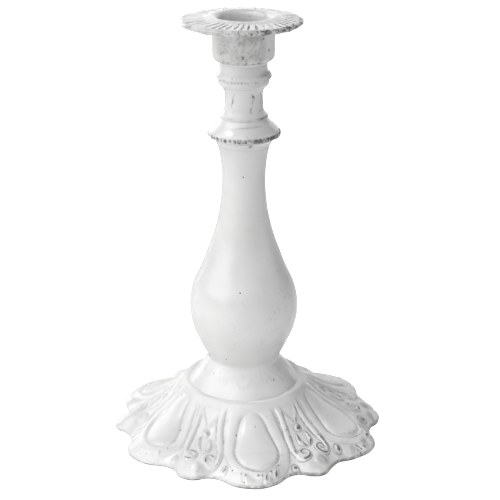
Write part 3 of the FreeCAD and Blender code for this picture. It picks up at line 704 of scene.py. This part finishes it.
def ball_points(size):
    """Points of one ball, in the order that ball_faces counts them."""
    lat = np.linspace(-math.pi / 2, math.pi / 2, PEARL_ROWS)[:, None]
    lon = np.linspace(0, 2 * math.pi, PEARL_ROUNDS, endpoint=False)[None, :]
    ball = np.stack([np.cos(lat) * np.cos(lon), np.cos(lat) * np.sin(lon),
                     np.sin(lat) + 0 * lon], axis=-1) * size
    ball[..., 2] *= 1.08
    return np.concatenate([ball[0, :1], ball[1:-1].reshape(-1, 3), ball[-1, :1]])


def make_pearls():
    """The collar's row of pearls, pressed by hand and a little uneven."""
    dice = np.random.default_rng(11)
    low, high = corners("collar_pearls")
    bend = (high[2] - low[2]) / 2
    middle = (high[2] + low[2]) / 2
    points = []
    faces = []
    for number in range(COLLAR_PEARLS):
        turn = 2 * math.pi * (number + dice.uniform(-0.1, 0.1)) / COLLAR_PEARLS
        ball = ball_points(bend * dice.uniform(0.9, 1.05))
        sunk = 0.7 * (0.45 - 0.45 * math.sin(turn))
        reach = high[0] - bend + PEARL_PROUD + dice.uniform(-0.2, 0.1) - sunk
        faces += ball_faces(len(points) * len(ball))
        points.append(ball + place_on_round(reach, middle + dice.uniform(-0.15, 0.15), turn))
    points = np.concatenate(points)
    return new_piece("pearl_row", points, faces, {"stand": np.full(len(points), PEARL_STAND),
                                                  "thin": np.full(len(points), PEARL_THIN)})


# Upright creases as (angle, depth, phase of the wander).
NECK_CREASES = [(-2.6, 0.9, 0.0), (-1.75, 0.6, 0.8), (-0.62, 0.75, 0.4), (0.42, 1.0, 1.9),
                (1.28, 1.2, 1.2), (1.05, 0.8, 2.2), (1.52, 2.0, 0.3), (2.2, 0.8, 2.6)]


def neck_relief(angle, reach, rise):
    """Uneven upright creases, pinched by the potter's fingers, and a nicked lower lip."""
    foot = foot_of("neck_spool")
    up = (rise - foot) / (head_of("neck_spool") - foot)
    turn = folded(angle, 2 * math.pi)
    held = band(up, 0.28, 0.80, 0.08) * smooth(7.0, 8.0, reach)
    height = 0 * angle
    thin = 0 * angle
    for place, depth, phase in NECK_CREASES:
        wander = 0.07 * np.sin(9 * up + phase) + 0.03 * np.sin(23 * up + 2 * phase)
        crease = line_at((turn - place - wander) * reach, 0.0, 0.55)
        crease = crease * depth * (0.6 + 0.4 * np.sin(11 * up + 3 * phase))
        height = height - 0.25 * crease
        thin = np.maximum(thin, np.clip(1.6 * crease, 0, 1))
    lip = line_at(rise, foot + 0.9, 0.5) * smooth(11.2, 11.8, reach)
    nicked = np.clip(0.4 + np.sin(2 * turn - 0.4) + 0.4 * np.sin(5 * turn), 0, 1)
    height = hand_turned(angle, reach, rise) + height * held
    return height, np.maximum(thin * held, lip * nicked)


def make_neck():
    """The waisted neck over its lip."""
    foot = foot_of("neck_spool")
    head = head_of("neck_spool")
    outline = [(5.0, foot), (11.6, foot - 0.5), (12.2, foot + 0.2), (12.0, foot + 1.4, 0.9),
               (10.6, foot + 2.6, -2.4), (9.75, foot + 6.4, -9.0), (9.6, foot + 12.4),
               (10.4, foot + 14.6, -4.0), (11.5, head + 0.4, -4.0), (5.0, head), (5.0, foot)]
    return lathe("neck", soften(run_outline(outline, 0.3)[:-1], 2), 288, neck_relief)


def knop_relief(angle, reach, rise):
    """A notched line under the knop and a grey band over it, both stronger towards +X."""
    foot = foot_of("knop_ring")
    outside = smooth(11.0, 12.0, reach)
    line = line_at(rise, foot + 3.3 + 0.15 * np.sin(angle + 1), 0.6) * outside
    notched = (0.7 + 0.4 * np.sin(46 * angle)) * (0.65 + 0.45 * np.sin(angle))
    above = line_at(rise, foot + 6.6, 1.1) * np.clip(np.sin(angle - 0.2), 0, 1) * outside
    height = hand_turned(angle, reach, rise) - 0.3 * line
    return height, np.maximum(1.3 * line * notched, 0.75 * above)


def make_knop():
    """The knop with its lower lip."""
    foot = foot_of("knop_ring")
    head = head_of("knop_ring")
    outline = [(5.0, foot), (11.4, foot - 0.5), (12.3, foot + 0.6), (12.7, foot + 2.4, 1.6),
               (13.3, foot + 3.2), (14.0, foot + 4.4, 1.8), (12.9, foot + 6.8, 2.8),
               (11.9, foot + 8.4, -2.2), (11.8, head + 0.5), (5.0, head), (5.0, foot)]
    return lathe("knop", soften(run_outline(outline, 0.3)[:-1], 2), 288, knop_relief)


# ------------------------------------------------------------------ cup and pan
SOCKET = 12.5
AXIS = 0.02

# Burst bubbles in the cup's glaze, as (angle, height over the cup's foot).
CUP_PINHOLES = [(-0.19, 11.0), (-0.80, 7.2), (-0.04, 5.8), (-0.42, 9.7), (0.9, 8.4), (2.4, 6.5)]


def cup_relief(angle, reach, rise):
    """A worn seam where the cup's floor was luted on, a front patch of stain and painted pan shadow, and
    a few pinholes.
    """
    up = rise - foot_of("candle_cup")
    turn = folded(angle, 2 * math.pi)
    outside = smooth(15.0, 15.3, reach)
    seam = 2.4 + 0.5 * np.sin(2 * angle + 0.5) + 0.25 * np.sin(7 * angle)
    line = line_at(up, seam, 0.55) * smooth(12.6, 13.2, reach)
    line = line * np.clip(0.75 + 0.5 * np.sin(3 * angle + 2.0), 0, 1)
    # The front patch greys the glaze as a stain and as the pan's shadow, painted in.
    thin = np.maximum(line, 0.47 * outside * band(turn, -0.8, 0.5, 0.5))
    for place, height in CUP_PINHOLES:
        pit = 1 - smooth(0.35, 0.75, np.hypot((turn - place) * reach, up - height))
        thin = np.maximum(thin, 2.2 * pit * outside)
    return hand_turned(angle, reach, rise) - 0.25 * line, thin


def make_cup():
    """The cup with its blind socket."""
    foot = foot_of("candle_cup")
    head = head_of("candle_cup")
    outline = [(AXIS, foot), (11.4, foot - 0.4), (13.0, foot + 1.6), (15.3, foot + 3.4, 2.3),
               (15.5, foot + 4.8), (15.6, head - 2.0), (15.9, head + 0.3), (SOCKET + 0.2, head + 0.5),
               (SOCKET, head - 2.0), (SOCKET, foot + 2.2), (AXIS, foot + 2.2)]
    return lathe("cup", soften(run_outline(outline, 0.45), 3, closed=False), 288, cup_relief)


# The pan's section from under its rim, over the top and into the socket, as (reach, height
# over the pan's foot), and how far its rim was set to one side.
PAN_RUN = [(17.4, 0.1), (24.0, 0.9), (28.0, 1.4), (29.4, 1.85), (30.3, 2.6), (30.7, 3.4), (30.5, 4.1),
           (29.7, 4.6), (28.2, 4.75), (24.0, 5.0), (20.0, 5.35), (18.4, 5.75), (17.2, 6.15), (16.0, 6.3),
           (14.8, 6.1), (13.7, 5.5), (12.8, 4.4), (12.5, 2.8)]
PAN_DRIFT = (-1.0, 18.0, 29.0)
PAN_STROKES = 44
STROKE_DEPTH = 1.1


def pan_strokes(angle, reach, rise):
    """Short radial strokes on the pan's upper face: 1 in the middle of a bold stroke."""
    x = np.sin(angle)
    y = np.cos(angle)
    foot = foot_of("drip_pan")
    wander = 0.03 * np.sin(5 * angle + 1) + 0.012 * np.sin(13 * angle) + 0.004 * (reach - 20)
    comb = np.abs(np.sin((angle + wander) * PAN_STROKES / 2))
    bold = np.clip(0.85 + 0.5 * waves(15 * x, 15 * y, 0.0, 8.0, 21), 0.4, 1.3)
    start = 20.8 + 0.9 * waves(12 * x, 12 * y, 0.0, 7.0, 23)
    end = 27.0 + 1.2 * waves(14 * x, 14 * y, 0.0, 7.0, 27)
    on_top = band(reach, start, end, 1.2) * smooth(foot + 2.6, foot + 3.4, rise)
    return on_top * bold * (1 - smooth(0.0, 0.36, comb))


def pan_relief(angle, reach, rise):
    """Radial strokes from the lip's groove out to a lumpy rim, worn through at one side; the strokes are
    greyed with painted shade.
    """
    stroke = pan_strokes(angle, reach, rise)
    rim = smooth(26.0, 29.5, reach)
    lumps = waves(reach * np.sin(angle), reach * np.cos(angle), 2 * rise, 7.0, 9)
    height = rim * (0.22 * lumps + 0.12 * np.sin(9 * angle + 0.6) - 0.1) - STROKE_DEPTH * stroke
    height = height + hand_turned(angle, reach, rise) * smooth(12.8, 13.5, reach)
    worn_side = np.clip(0.5 + 0.6 * np.cos(angle - 0.95), 0, 1) ** 1.3
    ragged = smooth(27.6, 29.0, reach + 0.8 * lumps) * worn_side
    film = (0.4 - 0.15 * np.sin(angle)) * rim
    # The strokes' grooves are greyed as painted shade.
    return height, np.maximum(np.maximum(1.1 * stroke, ragged), film)


def make_pan():
    """The drip pan and the lip round its socket."""
    foot = foot_of("drip_pan")
    outside = curve([(reach, foot + up) for reach, up in PAN_RUN], 116)
    under = run_outline([(SOCKET, foot - 0.2), (16.4, foot - 0.5), outside[0]], 0.4)[:-1]
    points = soften(np.concatenate([outside, under]), 1)
    return lathe("pan", points, 720, pan_relief, (foot + 3.2, foot + 9.0), PAN_DRIFT)


# ------------------------------------------------------------------ the glaze
MILK = (0.80, 0.80, 0.795, 1.0)
# The grey of thin glaze, which also paints shade: the pan's shadow on the cup, the pan's stroke grooves
# and the +X side.
THIN_AND_SHADED_GREY = (0.42, 0.415, 0.41, 1.0)
CLAY = (0.050, 0.047, 0.045, 1.0)


class Graph:
    """A short way to write a material's nodes."""

    def __init__(self, name):
        self.material = bpy.data.materials.new(name)
        self.material.use_nodes = True
        self.tree = self.material.node_tree
        self.shader = self.tree.nodes["Principled BSDF"]

    def node(self, kind, settings=None, inputs=None):
        """Add a node, set it up and link or fill its inputs."""
        made = self.tree.nodes.new(kind)
        for key, value in (settings or {}).items():
            setattr(made, key, value)
        for key, value in (inputs or {}).items():
            self.feed(made.inputs[key], value)
        return made

    def feed(self, socket, value):
        """Link a node's output to a socket, or set the socket's own value."""
        if isinstance(value, bpy.types.NodeSocket):
            self.tree.links.new(value, socket)
        else:
            socket.default_value = value

    def shade(self, inputs):
        """Link or fill the shader's inputs."""
        for key, value in inputs.items():
            self.feed(self.shader.inputs[key], value)

    def field(self, name):
        """A piece's own field, point by point."""
        return self.node("ShaderNodeAttribute", {"attribute_name": name}).outputs["Fac"]

    def maths(self, operation, first, second=0.0, third=0.0):
        """One sum on the way to a mask."""
        made = self.node("ShaderNodeMath", {"operation": operation})
        for socket, value in zip(made.inputs, (first, second, third)):
            self.feed(socket, value)
        return made.outputs[0]

    def ease(self, value, low, high):
        """0 below low, 1 above high."""
        made = self.node("ShaderNodeMapRange", {"interpolation_type": "SMOOTHSTEP"},
                         {"Value": value, "From Min": low, "From Max": high})
        return made.outputs["Result"]

    def noise(self, place, size, rough=0.55):
        """Noise whose features are about this many millimetres across."""
        made = self.node("ShaderNodeTexNoise", None,
                         {"Vector": place, "Scale": 1 / (size * MM), "Detail": 3.0,
                          "Roughness": rough})
        return made.outputs["Fac"]

    def blend(self, share, first, second):
        """Mix two colours."""
        made = self.node("ShaderNodeMix", {"data_type": "RGBA"},
                         {"Factor": share, "A": first, "B": second})
        return made.outputs["Result"]


def pinholes(graph, place, share, spacing):
    """1 in the pits of the glaze: this share of the cells of a spacing has one."""
    cells = graph.node("ShaderNodeTexVoronoi", {"feature": "F1"},
                       {"Vector": place, "Scale": 1 / (spacing * MM)})
    draw = graph.node("ShaderNodeSeparateColor", None, {"Color": cells.outputs["Color"]})
    rare = graph.maths("GREATER_THAN", draw.outputs["Red"], 1 - share)
    size = graph.maths("MULTIPLY_ADD", draw.outputs["Green"], 0.25 / spacing, 0.22 / spacing)
    return graph.maths("MULTIPLY", rare, graph.maths("LESS_THAN", cells.outputs["Distance"], size))


def glaze(name, wear, specks, spacing):
    """Milky glaze over dark clay, with painted shade in its greys.

    wear is how readily an edge shows bare clay; specks is the share of pits, one to a cell
    of the spacing, that broke open.
    """
    graph = Graph(name)
    place = graph.node("ShaderNodeTexCoord").outputs["Object"]
    stand = graph.field("stand")
    thin = graph.field("thin")
    cloud = graph.noise(place, 16.0)
    patch = graph.noise(place, 4.5)
    grain = graph.noise(place, 1.5, 0.6)
    split = graph.node("ShaderNodeSeparateXYZ", None, {"Vector": place})
    # Breaks the glaze more towards +X, as wear and as painted shade on the side away from the key lamp.
    side_wear_and_shade = graph.maths("MULTIPLY_ADD", graph.ease(split.outputs["X"], -0.03, 0.04), 0.16, -0.08)
    broken = graph.maths("MULTIPLY_ADD", patch, 0.6, graph.maths("MULTIPLY_ADD", grain, 0.6, side_wear_and_shade))

    edge = graph.maths("MULTIPLY_ADD", stand, wear, graph.maths("SUBTRACT", broken, 0.6))
    bare_edge = graph.ease(edge, 0.34, 0.46)
    thin_edge = graph.ease(edge, 0.10, 0.42)
    # film and veil grey the glaze where thin is high, painted shade included.
    film = graph.maths("MULTIPLY", graph.ease(thin, 0.0, 0.55), graph.ease(broken, 0.35, 0.72))
    bare_line = graph.maths("MULTIPLY", graph.ease(thin, 0.35, 0.8), graph.ease(broken, 0.60, 0.69))
    veil = graph.maths("MAXIMUM", graph.maths("MULTIPLY", thin_edge, 0.45),
                       graph.maths("MULTIPLY", film, 0.7))
    bare = graph.maths("MAXIMUM", graph.maths("MULTIPLY", bare_edge, 0.85),
                       graph.maths("MULTIPLY", bare_line, 0.85))
    bare = graph.maths("MAXIMUM", bare, pinholes(graph, place, specks, spacing))

    clouded = graph.maths("MULTIPLY", graph.ease(cloud, 0.35, 0.75), 0.12)
    colour = graph.blend(veil, graph.blend(clouded, MILK, THIN_AND_SHADED_GREY), THIN_AND_SHADED_GREY)
    rough = graph.maths("MULTIPLY_ADD", bare, 0.4, graph.maths("MULTIPLY_ADD", cloud, 0.1, 0.10))
    relief = graph.maths("MULTIPLY_ADD", grain, 0.10, graph.maths("MULTIPLY", patch, 0.45))
    bump = graph.node("ShaderNodeBump", None, {"Strength": 0.3, "Distance": 0.2 * MM,
                                               "Height": graph.maths("SUBTRACT", relief, bare)})
    graph.shade({"Base Color": graph.blend(bare, colour, CLAY), "Roughness": rough,
                 "Normal": bump.outputs["Normal"], "IOR": 1.5, "Coat Weight": 0.35,
                 "Coat Roughness": 0.06})
    return graph.material


def worn_glaze():
    """The glaze of edged and handled pieces, rubbed through in places."""
    return glaze("worn_glaze", wear=3.5, specks=0.6, spacing=5.5)


def fine_glaze():
    """The glaze of smooth pieces, hardly worn."""
    return glaze("fine_glaze", wear=1.5, specks=0.4, spacing=8.0)


# ------------------------------------------------------------------ stage
# The camera: its lens in millimetres, and how far it is from the stem's axis and the table.
LENS = 99.936
AWAY = 0.6785
ABOVE = 0.3579
DIP = math.radians(20.92)
TURN = math.radians(-2.3)
PAN_LEFT = math.radians(-0.275)

PALE = (0.9, 0.9, 0.9, 1)
PAPER = (0.95, 0.95, 0.95, 1)
WHITE = (1, 1, 1, 1)
SURROUND = 0.17
STEM_AT = (0, 0, 0.1)
FOOT_FRONT = (0, -0.18, 0)
FILL_SPREAD = math.radians(14)

# Lamps as (name, place, point it faces, size, power in watts).
LAMPS = [
    ("key", (-1.5, -0.5, 1.35), STEM_AT, (2.3, 2.3), 28.5),
    ("front", (-0.45, -1.35, 1.5), STEM_AT, (1.5, 1.5), 6.8),
    ("window", (-0.75, 0.05, 1.65), STEM_AT, (0.30, 0.30), 2.9),
    ("foot_fill", (-0.3, -1.2, 1.1), FOOT_FRONT, (0.3, 0.3), 0.07),
    ("right", (0.95, -0.25, 0.5), STEM_AT, (0.8, 0.8), 1.0),
    ("rim", (-0.60, 0.85, 0.30), STEM_AT, (0.5, 0.7), 0.7),
]


def make_camera():
    """The camera: in front of the stem and above the pan, looking down."""
    data = bpy.data.cameras.new("camera")
    data.lens = LENS
    camera = bpy.data.objects.new("camera", data)
    bpy.context.scene.collection.objects.link(camera)
    place = Vector((AWAY * math.sin(TURN), -AWAY * math.cos(TURN), ABOVE))
    aim = Matrix.Rotation(TURN + PAN_LEFT, 4, "Z") @ Matrix.Rotation(math.pi / 2 - DIP, 4, "X")
    camera.matrix_world = Matrix.Translation(place) @ aim
    bpy.context.scene.camera = camera


def area_light(name, place, target, size, power):
    """A soft square lamp that faces a point."""
    data = bpy.data.lights.new(name, "AREA")
    data.shape = "RECTANGLE"
    data.size, data.size_y = size
    data.energy = power
    lamp = bpy.data.objects.new(name, data)
    bpy.context.scene.collection.objects.link(lamp)
    lamp.location = place
    lamp.rotation_euler = (Vector(target) - Vector(place)).to_track_quat("-Z", "Y").to_euler()
    return lamp


def flat_sheet(name, half, rise, colour, glow):
    """A square of the stage."""
    mesh = bpy.data.meshes.new(name)
    mesh.from_pydata([(-half, -half, rise), (half, -half, rise), (half, half, rise),
                      (-half, half, rise)], [], [(0, 1, 2, 3)])
    sheet = bpy.data.objects.new(name, mesh)
    bpy.context.scene.collection.objects.link(sheet)
    graph = Graph(name)
    graph.shade({"Base Color": colour, "Roughness": 0.9, "Emission Color": WHITE,
                 "Emission Strength": glow})
    mesh.materials.append(graph.material)
    return sheet


def make_surround():
    """An even white surround, shown in plain colours."""
    world = bpy.data.worlds.new("surround")
    bpy.context.scene.world = world
    world.use_nodes = True
    background = world.node_tree.nodes["Background"]
    background.inputs["Color"].default_value = WHITE
    background.inputs["Strength"].default_value = SURROUND
    view = bpy.context.scene.view_settings
    view.view_transform = "Standard"
    view.look = "None"


def make_floor():
    """A pale floor for the camera, and two unseen ones that throw light up at the foot."""
    shown = flat_sheet("floor", 60.0, -0.0006, PALE, 1.0)
    shown.visible_diffuse = False
    shown.visible_glossy = False
    shown.visible_shadow = False
    flat_sheet("floor_bounce", 3.0, -0.0004, PAPER, 0.08).visible_camera = False
    flat_sheet("near_table", 0.22, -0.0003, PAPER, 0.25).visible_camera = False


def make_backdrop():
    """An upright card behind, seen only in the glaze."""
    card = flat_sheet("backdrop", 1.6, 0.0, PALE, 0.7)
    card.location = (0, 1.6, 0.4)
    card.rotation_euler = (math.pi / 2, 0, 0)
    card.visible_camera = False
    card.visible_diffuse = False
    card.visible_shadow = False


def make_lamps():
    """Big soft lamps to the left and in front, a window's glint, and small fills."""
    lamps = {name: area_light(name, place, target, size, power)
             for name, place, target, size, power in LAMPS}
    lamps["foot_fill"].data.spread = FILL_SPREAD
    lamps["foot_fill"].visible_glossy = False


# ------------------------------------------------------------------ build
def dress(piece, material, slot, *nodes):
    """Give a piece its glaze and its body, and hide the CAD nodes it stands for; slot is not used."""
    piece.data.materials.append(material)
    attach(piece, "root")
    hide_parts(*nodes)


def build():
    """Make and dress every piece."""
    worn = worn_glaze()
    fine = fine_glaze()
    dress(make_foot(), worn, "white_glaze", "base_skirt", "oval_bosses", "oval_frames",
          "scroll_straps", "husk_leaves", "husk_beads", "rim_pearls", "rim_knobs")
    dress(make_ridge(), fine, "white_glaze", "ridge_moulding")
    dress(make_dome(), fine, "white_glaze", "base_dome", "dome_leaves")
    dress(make_stem(), fine, "white_glaze", "baluster_stem")
    dress(make_collar(), worn, "white_glaze", "stem_collar")
    dress(make_pearls(), worn, "sprig_glaze", "collar_pearls")
    dress(make_neck(), worn, "white_glaze", "neck_spool")
    dress(make_knop(), worn, "white_glaze", "knop_ring")
    dress(make_cup(), worn, "white_glaze", "candle_cup")
    dress(make_pan(), worn, "white_glaze", "drip_pan")
    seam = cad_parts["luting_slip"]
    seam.data.materials.clear()
    seam.data.materials.append(fine)


make_camera()
make_surround()
make_floor()
make_backdrop()
make_lamps()
build()
